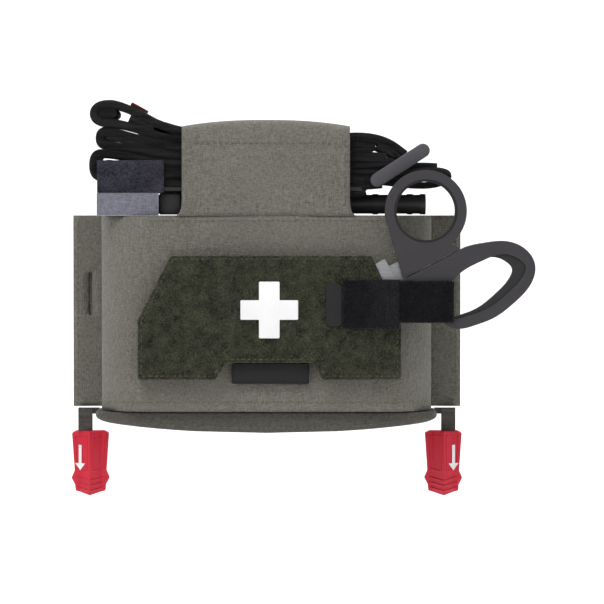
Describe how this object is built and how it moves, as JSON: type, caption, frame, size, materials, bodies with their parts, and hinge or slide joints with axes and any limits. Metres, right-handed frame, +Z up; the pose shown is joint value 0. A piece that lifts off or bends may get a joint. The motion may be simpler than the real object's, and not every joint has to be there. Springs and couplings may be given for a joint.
{
  "type": "tourniquet kit",
  "caption": "Windlass tourniquet folded flat under the flap of a slim cloth carrier, with a drop-out insert, pull grips and strapped shears.",
  "frame": {"origin": "centre of the carrier's flat back face", "axes": "+X to the shears side, +Y out of the back face, +Z up"},
  "size_m": [0.2131, 0.0579, 0.1827],
  "materials": {
    "carrier_cloth": "woven coated nylon, olive grey",
    "insert_cloth": "woven nylon, darker olive",
    "loop_pile": "dark olive loop pile",
    "hook_black": "black hook tape",
    "white_pvc": "smooth moulded white",
    "label_rubber": "moulded black, matt",
    "band_black": "black ribbed webbing",
    "band_red": "red stitched webbing",
    "tag_grey": "grey loop webbing",
    "tq_plastic": "black nylon plastic",
    "shears_grip": "grey moulded polypropylene",
    "shears_liner": "dark soft liner",
    "steel": "satin stainless",
    "pull_web": "narrow webbing",
    "pull_red": "moulded red, soft",
    "mark_white": "moulded white mark"
  },
  "bodies": {
    "carrier": {"back_panel": "carrier_cloth", "back_hook_field": "hook_black", "front_panel": "carrier_cloth", "roof_panel": "carrier_cloth", "loop_field": "loop_pile", "pocket_gusset": "carrier_cloth", "cross_patch": "white_pvc", "label_tag": "label_rubber", "rear_tongue": "carrier_cloth", "strap_anchor": "hook_black", "blade_upper": "steel", "pivot_rivet": "steel", "handle_large_loop": "shears_grip", "large_loop_liner": "shears_liner"},
    "flap": {"flap_front": "carrier_cloth"},
    "flap_end": {"flap_top": "carrier_cloth", "flap_hook_patch": "hook_black"},
    "insert": {"insert_body": "insert_cloth", "insert_rim": "insert_cloth", "pull_anchor_left": "pull_web", "pull_anchor_right": "pull_web"},
    "pull_left": {"pull_webbing_left": "pull_web", "pull_grip_left": "pull_red", "pull_mark_left": "mark_white"},
    "pull_right": {"pull_webbing_right": "pull_web", "pull_grip_right": "pull_red", "pull_mark_right": "mark_white"},
    "strap": {"shear_strap": "hook_black", "strap_tab": "label_rubber"},
    "tourniquet": {"tourniquet_band": "band_black", "tourniquet_inner_fold_top": "band_black", "tourniquet_inner_fold_middle": "band_black", "tourniquet_inner_fold_low": "band_black", "tourniquet_band_tip": "band_red", "tourniquet_plate": "tq_plastic", "tourniquet_inner_band": "band_black", "windlass_clip": "tq_plastic", "tourniquet_buckle": "tq_plastic", "tourniquet_pull_tab": "shears_grip"},
    "windlass": {"windlass_rod": "tq_plastic"},
    "time_strap": {"time_strap_hook": "hook_black", "time_strap_tag": "tag_grey"},
    "shears_lever": {"handle_small_ring": "shears_grip", "small_ring_liner": "shears_liner", "blade_lower": "steel"}
  },
  "joints": [
    {"name": "flap_open", "type": "hinge", "parent": "carrier", "child": "flap", "pos_m": [0, -0.045, 0.0435], "axis": [1, 0, 0], "range_deg": [0, 110]},
    {"name": "flap_unfold", "type": "hinge", "parent": "flap", "child": "flap_end", "pos_m": [0, -0.045, 0.0842], "axis": [1, 0, 0], "range_deg": [0, 90]},
    {"name": "insert_drop", "type": "slide", "parent": "carrier", "child": "insert", "axis": [0, 0, -1], "range_m": [0, 0.1]},
    {"name": "pull_left_swing", "type": "hinge", "parent": "insert", "child": "pull_left", "pos_m": [-0.0846, -0.0073, -0.0463], "axis": [-1, 0, 0], "range_deg": [0, 38]},
    {"name": "pull_right_swing", "type": "hinge", "parent": "insert", "child": "pull_right", "pos_m": [0.0846, -0.0073, -0.0463], "axis": [-1, 0, 0], "range_deg": [0, 38]},
    {"name": "strap_peel", "type": "hinge", "parent": "carrier", "child": "strap", "pos_m": [0.085, -0.057, 0.005], "axis": [0, 0, 1], "range_deg": [0, 100]},
    {"name": "tourniquet_draw", "type": "slide", "parent": "carrier", "child": "tourniquet", "axis": [-1, 0, 0], "range_m": [0, 0.17]},
    {"name": "time_strap_peel", "type": "hinge", "parent": "tourniquet", "child": "time_strap", "pos_m": [-0.0616, -0.0431, 0.0689], "axis": [-1, 0, 0], "range_deg": [0, 120]},
    {"name": "windlass_play", "type": "hinge", "parent": "tourniquet", "child": "windlass", "pos_m": [-0.002, -0.0222, 0.0488], "axis": [0, 0, 1], "range_deg": [-2.5, 2.5]},
    {"name": "shears_open", "type": "hinge", "parent": "carrier", "child": "shears_lever", "pos_m": [0.043, -0.05, 0.008], "axis": [0, -1, 0], "range_deg": [0, 10]}
  ],
  "couplings": [
    {"joint": "flap_unfold", "follows": "flap_open", "ratio": 0.8}
  ]
}
